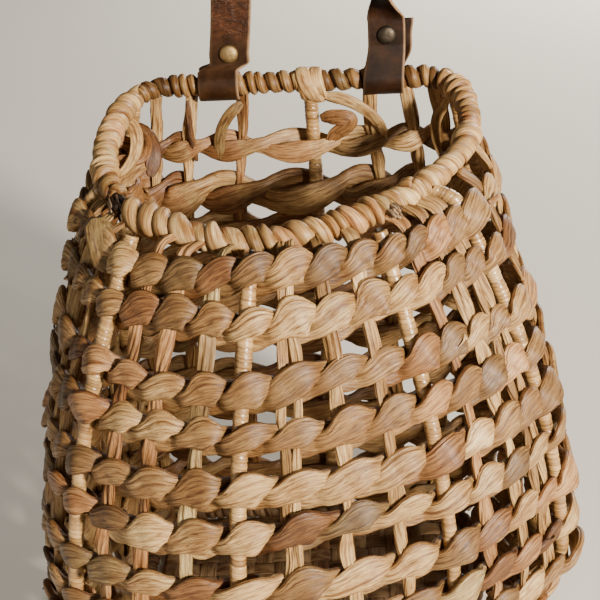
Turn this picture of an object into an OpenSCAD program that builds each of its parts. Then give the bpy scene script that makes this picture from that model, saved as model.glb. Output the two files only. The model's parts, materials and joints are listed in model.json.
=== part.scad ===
// Woven storage basket with a flat back, a tilted wrapped rim and a riveted
// leather hanging strap. It stands on its woven base, or hangs from the strap.
// +Z is up, the front faces -Y, and the floor is Z = 0.
// Every wall piece follows one surface: a closed smooth outline that bulges
// from the rim's plan towards the belly's plan with depth below the back rail.

/* [Body] */
// Height of the back rail's centre line above the floor
rail_h = 305; // [290:5:330]
// Height above the floor at which the belly is widest
belly_h = 45; // [40:5:60]
// Fall of the rim per millimetre of distance in front of the wall line
rim_tilt = 0.205; // [0.15:0.005:0.22]
// Share of the bulge that the belly loses again down to the base ring
foot_drop = 0.75; // [0.5:0.05:0.8]

/* [Rim and base ring] */
// Radius of the wire inside the rim and the base ring
rim_wire_r = 3; // [2:0.5:3.5]
// Outer radius of the fine wrapping at the back and sides of the rim
fine_wrap_r = 6.4; // [5.5:0.1:6.4]
// Outer radius of the coarse wrapping at the front of the rim
coarse_wrap_r = 7.6; // [6:0.1:7.8]
// Radius of the wire inside the base ring
foot_wire_r = 2; // [1.5:0.5:2.5]
// Flat-to-centre size of the base ring's wrapping
foot_wrap_r = 5; // [4.5:0.5:5]

/* [Stakes] */
// Radius of a rib's wire
rib_wire_r = 1.6; // [1:0.2:2]
// Outer radius of a rib's wrapping
rib_wrap_r = 4.2; // [3.5:0.1:4.2]
// Width of a flat fibre warp
warp_w = 8; // [6:0.5:9]
// Thickness of a flat fibre warp
warp_t = 1.6; // [1:0.2:1.8]

/* [Twined rows] */
// Half height of one weaving strand
strand_h = 4; // [3:0.1:4]
// Half thickness of one weaving strand
strand_t = 1.6; // [1.2:0.1:1.6]
// Rise or fall of a strand as it crosses a stake
strand_rise = 4.4; // [4.3:0.1:4.5]

/* [Strap] */
// Width of the leather strap
strap_w = 21; // [16:1:24]
// Thickness of the leather
strap_t = 2; // [1.6:0.1:2.2]
// Height of the strap's highest point above the rail's centre line
strap_rise = 190; // [170:5:220]
// Radius of a rivet's domed cap
cap_r = 5.2; // [4:0.1:6]
// Radius of a rivet's post
post_r = 1.8; // [1.4:0.1:2.2]

/* [Hidden] */
RIBS = ["back", "back_left", "left", "front_left",
        "front", "front_right", "right", "back_right"];
SECTORS = ["rear_left", "side_left_rear", "side_left_front", "front_left",
           "front_right", "side_right_front", "side_right_rear", "rear_right"];
ROWS = ["01", "02", "03", "04", "05", "06", "07", "08", "09", "10", "11"];

// Place of the back rail's centre line in plan
wall_at = [-2, 105, 0];
// Control points of the rim's plan, from the back centre round the left side,
// the front and the right side, with the wall line at y = 0
rim_plan = [[-50, 0], [-93, 0], [-103, -76], [-79, -126], [-18, -154],
            [35, -132], [70, -104], [96, -60], [89, 0], [50, 0]];
// How far each control point moves out between the rim and the belly
belly_reach = [[-20, 0], [-26, 0], [-34, -4], [-70, -38], [-33, -70],
               [53, -51], [85, -12], [42, 0], [25, 0], [20, 0]];
// Place of each rib along the outline, one unit per control point
rib_at = [-0.08, 1.55, 2.84, 3.72, 4.60, 5.48, 6.36, 8.40];
// Stakes in one sector, a rib and the flat warps that follow it
stakes_in_sector = 4;
// Heights of the twined rows' middles above the floor
row_h = [268.5, 246, 216, 193, 167, 143, 115, 89, 63, 40, 20];
// How much lower the second row runs across the back, where it sags
back_sag = 8;

corners = len(rim_plan);
turn_h = belly_h + 20;
foot_h = foot_wrap_r;
bulge_at_turn = 1 - pow((turn_h - belly_h) / (rail_h - belly_h), 2);
sectors = len(rib_at);
stakes = sectors * stakes_in_sector;
stake_at = [for (i = [0 : sectors - 1], j = [0 : stakes_in_sector - 1])
    let (next = i < sectors - 1 ? rib_at[i + 1] : rib_at[0] + corners)
    rib_at[i] + (next - rib_at[i]) * j / stakes_in_sector];

// Gap left between pieces that lie against each other
gap = 0.4;
// Room left between the middle of a strand and the ribs and warps that it passes
rib_room = 0.6;
warp_room = 1;
// Share of the way to the next stake that a strand stays on one side
hold = 0.3;
rim_sides = 8;
rib_sides = 6;
rim_steps = 56;
rib_steps = 12;
foot_steps = 48;

// ---------- surface ----------

// Share of the full bulge at height h
function bulge(h) = h > turn_h
    ? 1 - pow((h - belly_h) / (rail_h - belly_h), 2)
    : bulge_at_turn - foot_drop * pow((turn_h - h) / (turn_h - foot_h), 2);

function control(j, b) =
    let (k = (j + corners) % corners) rim_plan[k] + b * belly_reach[k];

// Plan point of the outline at place u and bulge b
function outline(u, b) =
    let (j = floor(u), t = u - j, c0 = control(j - 1, b), c1 = control(j, b), c2 = control(j + 1, b))
    pow(1 - t, 2) * (c0 + c1) / 2 + 2 * t * (1 - t) * c1 + t * t * (c1 + c2) / 2;

// Direction of travel along the outline
function heading(u, b) =
    let (j = floor(u), t = u - j, c0 = control(j - 1, b), c1 = control(j, b), c2 = control(j + 1, b),
         d = (1 - t) * (c1 - c0) + t * (c2 - c1))
    d / norm(d);

// Outward direction in plan
function outward(u, b) = let (d = heading(u, b)) [d[1], -d[0]];

// Wall point at place u and height h, moved out by r
function wall(u, h, r = 0) =
    let (p = outline(u, bulge(h)) + r * outward(u, bulge(h))) [p[0], p[1], h];

// Rim centre at place u
function rim(u) = let (p = outline(u, 0)) [p[0], p[1], rail_h + rim_tilt * p[1]];

// Base ring centre at place u
function foot(u) = wall(u, foot_h);

function unit(v) = v / norm(v);

// Mix of two values
function mix(a, b, t) = a + (b - a) * t;

// ---------- swept pieces ----------

// Ring of points round centre p across axes a and b
function round_ring(p, a, b, r, sides) =
    [for (k = [0 : sides - 1]) let (w = (k + 0.5) * 360 / sides) p + r * (cos(w) * a + sin(w) * b)];

// Faces between successive rings of m points; rings i and i + 1 of n, turned over where flip is true
function side_faces(n, m, closed, first, flip) =
    [for (i = [0 : closed ? n - 1 : n - 2], j = [0 : m - 1])
        let (a = first + i * m + j, b = first + i * m + (j + 1) % m,
             c = first + ((i + 1) % n) * m + j, d = first + ((i + 1) % n) * m + (j + 1) % m)
        each flip ? [[a, c, b], [b, c, d]] : [[a, b, c], [b, d, c]]];

// Solid bar through a list of rings
module bar(rings, closed = false) {
    n = len(rings);
    m = len(rings[0]);
    ends = closed ? [] : [[for (j = [m - 1 : -1 : 0]) j], [for (j = [0 : m - 1]) (n - 1) * m + j]];
    polyhedron([for (r = rings) each r], concat(side_faces(n, m, closed, 0, false), ends), convexity = 8);
}

// Open tube between two lists of rings, with flat ends
module sleeve(outer, inner) {
    n = len(outer);
    m = len(outer[0]);
    all = n * m;
    last = (n - 1) * m;
    start = [for (j = [0 : m - 1]) let (k = (j + 1) % m) each [[j, all + j, k], [k, all + j, all + k]]];
    end = [for (j = [0 : m - 1]) let (k = (j + 1) % m)
        each [[last + j, last + k, all + last + j], [last + k, all + last + k, all + last + j]]];
    polyhedron([for (r = concat(outer, inner)) each r],
        concat(side_faces(n, m, false, 0, false), side_faces(n, m, false, all, true), start, end),
        convexity = 8);
}

// ---------- rim and base ring ----------

// Section of the rim at place u, which lies in one tilted plane
function rim_ring(u, r) =
    let (d = outward(u, 0), n = unit([d[0], d[1], rim_tilt * d[1]]), up = unit([0, -rim_tilt, 1]))
    round_ring(rim(u), n, up, r, rim_sides);

function spread(u0, u1, steps) = [for (i = [0 : steps]) mix(u0, u1, i / steps)];

module rim_wire() {
    color("#6b6257")
    translate(wall_at)
    bar([for (i = [0 : rim_steps - 1]) rim_ring(i * corners / rim_steps, rim_wire_r)], closed = true);
}

// Wrapping of outer radius r on the rim from u0 to u1
module rim_wrap(u0, u1, r, steps) {
    color("#cfae7c")
    translate(wall_at)
    sleeve([for (u = spread(u0, u1, steps)) rim_ring(u, r)],
           [for (u = spread(u0, u1, steps)) rim_ring(u, rim_wire_r + gap)]);
}

// Places along the outline where one stretch of wrapping ends and the next begins,
// and half the space between the ends
knot_from = -0.16;
knot_to = -0.005;
back_from = -1.45;
back_to = 1.45;
front_from = 3.3;
front_to = 6.2;
joint_gap = 0.005;
knot_r = fine_wrap_r + 0.4;

module rim_wrap_back() {
    rim_wrap(back_from + joint_gap, knot_from - joint_gap, fine_wrap_r, 7);
    rim_wrap(knot_to + joint_gap, back_to - joint_gap, fine_wrap_r, 8);
}

module rim_wrap_left() {
    rim_wrap(back_to + joint_gap, front_from - joint_gap, fine_wrap_r, 11);
}

module rim_wrap_front() {
    rim_wrap(front_from + joint_gap, front_to - joint_gap, coarse_wrap_r, 18);
}

module rim_wrap_right() {
    rim_wrap(front_to + joint_gap, corners + back_from - joint_gap, fine_wrap_r, 13);
}

module rim_knot() {
    rim_wrap(knot_from, knot_to, knot_r, 1);
}

// Base ring section: its flat side is down, on the floor
function foot_ring(u, r) =
    let (d = outward(u, bulge(foot_h)))
    [for (k = [0 : rib_sides - 1]) let (w = k * 360 / rib_sides, s = r / cos(180 / rib_sides))
        foot(u) + s * (cos(w) * [d[0], d[1], 0] + sin(w) * [0, 0, 1])];

module base_ring_wire() {
    color("#6b6257")
    translate(wall_at)
    bar([for (i = [0 : foot_steps - 1]) foot_ring(i * corners / foot_steps, foot_wire_r)], closed = true);
}

module base_ring_wrap() {
    places = spread(joint_gap, corners - joint_gap, foot_steps);
    color("#bd9a68")
    translate(wall_at)
    sleeve([for (u = places) foot_ring(u, foot_wrap_r)],
           [for (u = places) foot_ring(u, foot_wire_r + gap)]);
}

// ---------- ribs and warps ----------

// Room left between the base ring's wrapping and the foot of a stake
foot_room = 3.4;

// Lowest height of a stake: its end stops short of the base ring's wrapping
function stake_foot(u) =
    let (reach = norm(outline(u, 1) - outline(u, 0)), slope = 2 * foot_drop / (turn_h - foot_h) * reach)
    foot_h + (foot_wrap_r + foot_room) / sqrt(1 + slope * slope);

// Every stake follows the wall up to this height, just over the top row
wall_top = row_h[0] + 8.5;
// Least height that the rim stands above that before a stake turns in to reach it
least_turn = 6;
// Room left round the back rail's centre line for the strap's loops
loop_room = 10.2;
// Room left round the centre line of the rest of the rim
rim_room = coarse_wrap_r + 1.2;
// The rim behind this distance from the wall line is the back rail
rail_zone = -5;

// Top of a stake: it turns in towards the rim and stops short of the wrapping.
// Where the rim lies beside the top row, the stake ends against the rim's outer side instead.
function stake_tops(u) =
    let (top = wall(u, wall_top), to_rim = rim(u) - top,
         room = rim(u)[1] > rail_zone ? loop_room : rim_room)
    to_rim[2] > least_turn ? [top + to_rim * (1 - room / norm(to_rim))] : [];

// Centre line of a stake, from the base ring up to the rim
function stake_path(u) =
    concat([for (i = [0 : rib_steps]) wall(u, mix(stake_foot(u), wall_top, pow(i / rib_steps, 1.5)))],
           stake_tops(u));

// Unit tangents along a path
function tangents(p) =
    [for (i = [0 : len(p) - 1]) unit(p[min(i + 1, len(p) - 1)] - p[max(i - 1, 0)])];

// Sideways direction of a stake at each point of its path
function sideways(u, p, t) =
    [for (i = [0 : len(p) - 1])
        let (d = heading(u, bulge(min(p[i][2], wall_top))), a = [d[0], d[1], 0])
        unit(a - (a * t[i]) * t[i])];

function rib_rings(u, r) =
    let (p = stake_path(u), t = tangents(p), a = sideways(u, p, t))
    [for (i = [0 : len(p) - 1]) round_ring(p[i], a[i], cross(a[i], t[i]), r, rib_sides)];

function warp_rings(u) =
    let (p = stake_path(u), t = tangents(p), a = sideways(u, p, t))
    [for (i = [0 : len(p) - 1])
        let (n = cross(a[i], t[i]), x = a[i] * warp_w / 2, y = n * warp_t / 2)
        [p[i] + x + y, p[i] - x + y, p[i] - x - y, p[i] + x - y]];

module rib_wire(i) {
    color("#6b6257")
    translate(wall_at)
    bar(rib_rings(rib_at[i], rib_wire_r));
}

module rib_wrap(i) {
    color("#c8a877")
    translate(wall_at)
    sleeve(rib_rings(rib_at[i], rib_wrap_r), rib_rings(rib_at[i], rib_wire_r + gap));
}

module warps(i) {
    color("#d8bd8e")
    translate(wall_at)
    for (j = [1 : stakes_in_sector - 1]) bar(warp_rings(stake_at[i * stakes_in_sector + j]));
}

// ---------- twined rows ----------

function stake_u(k) = stake_at[(k + stakes) % stakes] + corners * floor(k / stakes);

// Distance of a strand's middle from the wall surface as it passes stake k
function clear_of(k) =
    (k % stakes_in_sector == 0 ? rib_wrap_r + rib_room : warp_t / 2 + warp_room) + strand_t;

// Diamond section of a strand at place u, moved out by r and up the wall by dz from height h
function strand_ring(u, h, r, dz) =
    let (d = heading(u, bulge(h)), up = unit(wall(u, h + 1) - wall(u, h - 1)),
         n = unit(cross([d[0], d[1], 0], up)), p = wall(u, h) + r * n + dz * up)
    [p + strand_t * n, p + strand_h * up, p - strand_t * n, p - strand_h * up];

// Smooth step from 0 to 1
function ease(t) = let (s = max(0, min(1, t))) s * s * (3 - 2 * s);

// Height of row i's middle at place u
function row_at(i, u) = row_h[i] - (i == 1 ? back_sag * ease(3 * cos(360 * u / corners) - 1.4) : 0);

// One strand of row i: it passes outside every second stake rising, and inside the others falling.
// Between stakes it crosses the row's other strand, one at the top and one at the bottom.
function strand(i, phase) =
    [for (k = [0 : stakes - 1], e = [-1, 1])
        let (u = mix(stake_u(k), stake_u(k + e), hold), side = (k + phase) % 2 == 0 ? 1 : -1)
        strand_ring(u, row_at(i, u), side * clear_of(k), side * e * strand_rise)];

module weft_row(i) {
    color("#b98f62")
    translate(wall_at)
    for (phase = [0, 1]) bar(strand(i, phase), closed = true);
}

// ---------- base ----------

slat_w = 11;
slat_pitch = 12;
slat_t = 1.6;
// Space between the base ring's wrapping and the ends of the strips
slat_gap = 1.5;
// Length from which each strip is cut to the floor plan, and how many lie on each side of the middle
slat_len = 400;
slats = 12;
plan_steps = 40;

// Floor plan inside the base ring
module floor_plan() {
    b = bulge(foot_h);
    polygon([for (i = [0 : plan_steps - 1])
        let (u = i * corners / plan_steps) outline(u, b) - (foot_wrap_r + slat_gap) * outward(u, b)]);
}

// Lowest layer: strips from front to back
module base_warps() {
    color("#cfae7c")
    translate(wall_at)
    intersection() {
        linear_extrude(slat_t) floor_plan();
        for (i = [-slats : slats])
            translate([i * slat_pitch - wall_at[0], -wall_at[1], 0])
            cube([slat_w, slat_len, slat_len], center = true);
    }
}

// Upper layer: strips from side to side
module base_wefts() {
    color("#b98f62")
    translate(wall_at)
    intersection() {
        translate([0, 0, slat_t + gap]) linear_extrude(slat_t) floor_plan();
        for (i = [-slats : slats])
            translate([0, i * slat_pitch - wall_at[1], 0])
            cube([slat_len, slat_w, slat_len], center = true);
    }
}

// ---------- cut reed ends ----------

reed_r = 3;
reed_len = 6;
// How far a reed's end lies above the rim's centre line
reed_up = 2;

// Cut end of a reed that stands out from the rim at place u, where the wrapping's radius is r
module reed_end(u, r) {
    d = outward(u, 0);
    color("#7a5a3c")
    translate(wall_at + rim(u) + [(r + gap) * d[0], (r + gap) * d[1], reed_up])
    rotate([0, 0, atan2(d[1], d[0])])
    rotate([0, 90, 0])
    cylinder(h = reed_len, r = reed_r, $fn = 32);
}

// ---------- strap ----------

// Places of the left and right loops along the rail, and heights of their rivets above it
loop_x = [-36.5, 51.5];
rivet_rise = [18, 25];
// How far the strap has slipped sideways where it passes round the rail, and the heights
// between which it comes back in line
loop_slip = [-7, -5];
slip_from = 2;
slip_to = 12;
// Radius of the strap's middle round the wrapped rail
loop_r = knot_r + gap + strap_t / 2;
// Height of the strap's tail above its rivet
tail_up = 8;
// Half the space between the two layers of the strap where they lie together
layer_gap = 0.1;
// Space between a rivet and the leather
rivet_fit = 0.05;

// Loop of the strap in side view, as [y, z] about the rail: up the back from below
// the rail to the tail's end, and up the front to above the rivet
function loop_point(rise, s) =
    let (w = acos(loop_r / rise), a = mix(270, 90 + w, s)) [loop_r * cos(a), loop_r * sin(a)];

// The two layers lie flat together from a little below the rivet's cap up
function loop_side(rise) =
    let (half = strap_t / 2 + layer_gap, flat_from = rise - cap_r - 1.5)
    concat([for (i = [0 : 7]) loop_point(flat_from, i / 7)],
           [[-half, flat_from], [-half, flat_from + 1], [-half, rise + tail_up]]);

// Sideways place of the strap's middle in loop i at height z above the rail
function loop_at(i, z) = loop_x[i] + loop_slip[i] * (1 - ease((z - slip_from) / (slip_to - slip_from)));

// Whole loop at one end: tail, round under the rail, and up to the leg
function loop_path(i) =
    let (side = loop_side(rivet_rise[i]), n = len(side))
    concat([for (k = [n - 1 : -1 : 1]) [loop_at(i, side[k][1]), -side[k][0], side[k][1]]],
           [for (k = [0 : n - 1]) [loop_at(i, side[k][1]), side[k][0], side[k][1]]]);

function cubic(a, b, c, d, t) =
    pow(1 - t, 3) * a + 3 * t * pow(1 - t, 2) * b + 3 * t * t * (1 - t) * c + pow(t, 3) * d;

top = [7, 0, strap_rise];
leg_y = -(strap_t / 2 + layer_gap);
// Height and sideways place, from the loop, that each leg heads for, and how far the top spreads
leg_aim = [[10, 95], [-3, 100]];
top_spread = [-42, 42];

// Point at share t of leg i, from its loop to the top
function leg(i, t) =
    cubic([loop_x[i], leg_y, rivet_rise[i] + tail_up], [loop_x[i] + leg_aim[i][0], leg_y, leg_aim[i][1]],
          top + [top_spread[i], 0, 0], top, t);

leg_steps = 14;
leg_share = [for (i = [1 : leg_steps]) i / leg_steps];
strap_path = concat(loop_path(0), [for (t = leg_share) leg(0, t)],
    [for (i = [leg_steps - 2 : -1 : 0]) leg(1, leg_share[i])],
    [let (p = loop_path(1)) for (k = [len(p) - 1 : -1 : 0]) p[k]]);
loop_n = len(loop_path(0));
// The leather's width turns from along the rail at the loops to front to back at the top,
// and the right leg starts to turn sooner
strap_turn = concat([for (k = [1 : loop_n]) 0], [for (t = leg_share) 90 * ease(t)],
    [for (i = [leg_steps - 2 : -1 : 0]) 90 * (1 - pow(1 - leg_share[i], 4))],
    [for (k = [1 : loop_n]) 0]);

// Section of the strap at point i: width along w, thickness along n. In the loops w is along the rail.
function strap_ring(i) =
    let (last = len(strap_path) - 1, in_loop = i < loop_n || i > last - loop_n,
         step = strap_path[min(i + 1, last)] - strap_path[max(i - 1, 0)],
         t = unit(in_loop ? [0, step[1], step[2]] : step), face = unit(cross([1, 0, 0], t)),
         edge = unit(cross(t, [0, 1, 0])), front = [0, -1, 0],
         n = in_loop ? (i < loop_n ? face : -face) : cos(strap_turn[i]) * front - sin(strap_turn[i]) * edge,
         w = unit(cross(n, t)), m = unit(cross(t, w)))
    [for (q = [[1, -1], [-1, -1], [-1, 1], [1, 1]])
        strap_path[i] + q[0] * w * strap_w / 2 + q[1] * m * strap_t / 2];

module strap() {
    color("#7b4526")
    translate(wall_at + [0, 0, rail_h])
    difference() {
        bar([for (i = [0 : len(strap_path) - 1]) strap_ring(i)]);
        for (i = [0, 1])
            translate([loop_x[i], 0, rivet_rise[i]])
            rotate([90, 0, 0])
            cylinder(h = 20, r = post_r + 0.2, center = true, $fn = 32);
    }
}

// Frame of a rivet: Z points out of the strap's front face
module at_rivet(i) {
    translate(wall_at + [loop_x[i], 0, rail_h + rivet_rise[i]]) rotate([90, 0, 0]) children();
}

// Half the distance between a rivet's cap and its washer
grip = strap_t + layer_gap + rivet_fit;
cap_edge = 0.6;
cap_dome = 2.6;
washer_t = 1;
// How far the post's end stands out of the washer
post_out = 0.2;

module rivet_cap(i) {
    color(i == 0 ? "#a8843f" : "#8d8a86")
    at_rivet(i)
    translate([0, 0, grip])
    rotate_extrude($fn = 64)
    polygon(concat([[0, 0], [cap_r, 0], [cap_r, cap_edge]],
        [for (a = [15 : 15 : 75]) [cap_r * cos(a), cap_edge + (cap_dome - cap_edge) * sin(a)]],
        [[0, cap_dome]]));
}

module rivet_post(i) {
    color("#8d8a86")
    at_rivet(i)
    translate([0, 0, -grip - washer_t - post_out])
    cylinder(h = 2 * grip + washer_t + post_out - rivet_fit, r = post_r, $fn = 32);
}

module rivet_washer(i) {
    color("#8d8a86")
    at_rivet(i)
    translate([0, 0, -grip - washer_t])
    difference() {
        cylinder(h = washer_t, r = cap_r - 0.8, $fn = 48);
        translate([0, 0, -1]) cylinder(h = washer_t + 2, r = post_r + rivet_fit, $fn = 32);
    }
}

// ---------- nodes ----------

rim_wire();
rim_wrap_back();
rim_wrap_left();
rim_wrap_front();
rim_wrap_right();
rim_knot();
for (i = [0 : sectors - 1]) {
    rib_wire(i);
    rib_wrap(i);
    warps(i);
}
for (i = [0 : len(ROWS) - 1]) {
    weft_row(i);
}
base_ring_wire();
base_ring_wrap();
base_warps();
base_wefts();
reed_end(3.17, fine_wrap_r);  // reed_end_left
reed_end(5.81, coarse_wrap_r);  // reed_end_right
strap();
rivet_cap(0);  // rivet_cap_left
rivet_post(0);  // rivet_post_left
rivet_washer(0);  // rivet_washer_left
rivet_cap(1);  // rivet_cap_right
rivet_post(1);  // rivet_post_right
rivet_washer(1);  // rivet_washer_right
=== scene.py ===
"""Woven wall basket: two-strand twined rows round wrapped ribs and flat fibre strips,
a wrapped tilted rim, a woven base and a riveted leather hanging strap."""

import json
import math

import bpy
import numpy as np
from mathutils import Matrix, Vector


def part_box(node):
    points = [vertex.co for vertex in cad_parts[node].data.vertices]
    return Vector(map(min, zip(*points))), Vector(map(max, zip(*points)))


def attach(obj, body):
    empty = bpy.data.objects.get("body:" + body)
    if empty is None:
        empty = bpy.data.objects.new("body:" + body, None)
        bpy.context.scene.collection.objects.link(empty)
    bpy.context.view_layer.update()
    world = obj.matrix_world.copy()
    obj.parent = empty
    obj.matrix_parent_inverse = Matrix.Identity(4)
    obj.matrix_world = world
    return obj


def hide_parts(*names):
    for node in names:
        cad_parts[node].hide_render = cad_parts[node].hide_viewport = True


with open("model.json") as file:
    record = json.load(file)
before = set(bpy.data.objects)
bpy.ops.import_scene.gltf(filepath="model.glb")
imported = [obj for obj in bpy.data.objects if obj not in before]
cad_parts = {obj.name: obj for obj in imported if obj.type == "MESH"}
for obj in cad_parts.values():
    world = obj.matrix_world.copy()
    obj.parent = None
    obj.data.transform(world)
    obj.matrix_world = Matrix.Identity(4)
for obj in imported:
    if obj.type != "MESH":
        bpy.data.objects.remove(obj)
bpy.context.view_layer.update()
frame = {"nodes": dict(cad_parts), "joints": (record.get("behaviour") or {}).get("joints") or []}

MM = 0.001
TAU = math.tau
UP = np.array([0.0, 0.0, 1.0])
rng = np.random.default_rng(11)

# ----- surface of the basket, in millimetres -----

# Centre of the back rail: the strap swings about it
RAIL = np.array(frame["joints"][0]["pos_m"]) / MM
WALL_AT = np.array([RAIL[0], RAIL[1], 0.0])
RAIL_H = RAIL[2]
# The wall bulges more and more down to TURN_H, on a curve that is widest at BELLY_H, and by
# FOOT_H it has lost FOOT_DROP of its full bulge again
BELLY_H, TURN_H, FOOT_H = 45.0, 65.0, 5.0
FOOT_DROP = 0.75
# How far the rim sinks for each millimetre in front of the rail
RIM_TILT = 0.205

# Control points of the rim's plan, from the back centre round the left, front and right sides
RIM_PLAN = np.array([[-50, 0], [-93, 0], [-103, -76], [-79, -126], [-18, -154],
                     [35, -132], [70, -104], [96, -60], [89, 0], [50, 0]], float)
# How far each control point moves out between the rim and the belly
BELLY_REACH = np.array([[-20, 0], [-26, 0], [-34, -4], [-70, -38], [-33, -70],
                        [53, -51], [85, -12], [42, 0], [25, 0], [20, 0]], float)
CORNERS = len(RIM_PLAN)
# Place of each rib along the outline, one unit per control point
RIB_AT = [-0.08, 1.55, 2.84, 3.72, 4.60, 5.48, 6.36, 8.40]
RIBS = "back back_left left front_left front front_right right back_right".split()
# Each sector runs from one rib to the next, and has three strips between them
SECTORS = ["rear_left", "side_left_rear", "side_left_front", "front_left",
           "front_right", "side_right_front", "side_right_rear", "rear_right"]
PER_SECTOR = 4
STAKES = len(RIB_AT) * PER_SECTOR
# Leaves in one strand of a row: each spans two stakes
LEAVES = STAKES // 2
ROW_H = [268.5, 246, 216, 193, 167, 143, 115, 89, 63, 40, 20]
WALL_TOP = ROW_H[0] + 8.5


def unit(v):
    return v / np.linalg.norm(v, axis=-1, keepdims=True)


def smooth(t):
    return t * t * (3 - 2 * t)


def bulge(h):
    """Share of the full bulge at height h."""
    at_turn = 1 - ((TURN_H - BELLY_H) / (RAIL_H - BELLY_H)) ** 2
    over = 1 - ((h - BELLY_H) / (RAIL_H - BELLY_H)) ** 2
    under = at_turn - FOOT_DROP * ((TURN_H - h) / (TURN_H - FOOT_H)) ** 2
    return np.where(h > TURN_H, over, under)


def corners_near(u, b):
    """The three control points that shape the outline at u, and the share of the way between."""
    j = np.floor(u).astype(int)
    b = np.broadcast_to(b, u.shape)[:, None]
    near = [RIM_PLAN[(j + k) % CORNERS] + b * BELLY_REACH[(j + k) % CORNERS] for k in (-1, 0, 1)]
    return near, (u - j)[:, None]


def outline(u, b):
    """Plan points of the outline at places u and bulge b."""
    (c0, c1, c2), t = corners_near(u, b)
    return (1 - t) ** 2 * (c0 + c1) / 2 + 2 * t * (1 - t) * c1 + t ** 2 * (c1 + c2) / 2


def heading(u, b):
    """Direction of travel along the outline, as 3-D unit vectors."""
    (c0, c1, c2), t = corners_near(u, b)
    flat = unit((1 - t) * (c1 - c0) + t * (c2 - c1))
    return np.column_stack([flat, np.zeros(len(u))])


def wall(u, h):
    """Points on the wall's middle surface."""
    h = np.broadcast_to(h, u.shape).astype(float)
    return np.column_stack([outline(u, bulge(h)), h]) + WALL_AT


def wall_axes(u, h):
    """Along, up and outward unit vectors of the wall."""
    h = np.broadcast_to(h, u.shape).astype(float)
    along = heading(u, bulge(h))
    up = unit(wall(u, h + 1) - wall(u, h - 1))
    return along, up, unit(np.cross(along, up))


def rim(u):
    """Centres of the rim, which lies in one tilted plane."""
    p = outline(u, 0.0)
    return np.column_stack([p, RAIL_H + RIM_TILT * p[:, 1]]) + WALL_AT


def rim_axes(u):
    """Outward and upward unit vectors across the rim."""
    d = heading(u, 0.0)
    out = unit(np.column_stack([d[:, 1], -d[:, 0], -RIM_TILT * d[:, 0]]))
    return out, unit(np.array([0.0, -RIM_TILT, 1.0]))


def foot_ring(u):
    return wall(u, FOOT_H)


def foot_axes(u):
    d = heading(u, bulge(np.full(u.shape, FOOT_H)))
    return np.column_stack([d[:, 1], -d[:, 0], np.zeros(len(u))]), UP


def stake_place(t):
    """Place along the outline of stake number t, which may lie between two stakes."""
    k = np.arange(-PER_SECTOR, STAKES + PER_SECTOR + 1)
    ribs = np.array(RIB_AT + [RIB_AT[0] + CORNERS])
    sector = (k % STAKES) // PER_SECTOR
    share = (k % PER_SECTOR) / PER_SECTOR
    place = ribs[sector] + (ribs[sector + 1] - ribs[sector]) * share + CORNERS * (k // STAKES)
    return np.interp(t, k, place)


# ----- noise -----

# Where across a bundle's width its surface starts to drop to the next one
LAP_EDGE = 0.82


def lattice(grid, x, y):
    """Smooth value noise: the random grid repeats in both directions."""
    i, j = np.floor(x).astype(int), np.floor(y).astype(int)
    fx, fy = smooth(x - i), smooth(y - j)
    rows, cols = grid.shape
    low, high = (grid[i % rows, k % cols] * (1 - fx) + grid[(i + 1) % rows, k % cols] * fx
                 for k in (j, j + 1))
    return low * (1 - fy) + high * fy


def wander(x, cells, low, high):
    """Random values from low to high at whole x, smooth between, that repeat after cells."""
    grid = rng.uniform(low, high, (cells, 1))
    return lattice(grid, x, np.zeros_like(x))


def laps(along, turn, length, count, run, twist=0):
    """Overlapping bundles of fibre: each rises across its width, then drops to the next.

    along is in mm, turn goes from 0 to 1 round the section, count is the number of bundles
    round it, run is how far a bundle keeps its place, and twist is in whole bundles.
    Gives the surface height from -0.5 to 0.5, and how deep in a crease each point lies, which the
    material darkens: painted shade in the creases, and in the fine lines partly dark fibre, partly
    painted shade."""
    cells = max(int(round(length / run)), 3)
    x = along / length * cells
    y = turn * count + twist * along / length
    drift = lattice(rng.random((cells, count)), x, y)
    depth = 0.25 + lattice(rng.random((cells, count)), x + 0.5, y)
    share = (y + 1.1 * drift) % 1.0
    rise = np.where(share < LAP_EDGE, share / LAP_EDGE, (1 - share) / (1 - LAP_EDGE))
    # edge marks the drop from one bundle to the next, where the material paints shade
    edge = np.clip(1 - np.abs(share - (1 + LAP_EDGE) / 2) / 0.16, 0, 1) * np.clip(depth, 0, 1)
    fine = lattice(rng.random((cells * 2, count * 5)), x * 2, y * 5)
    line = np.clip(1 - np.abs(2 * fine - 1) * 3.0, 0, 1)
    return (rise - 0.5) * depth - 0.35 * line, np.maximum(edge, 0.65 * line)


# ----- mesh building -----

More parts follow.
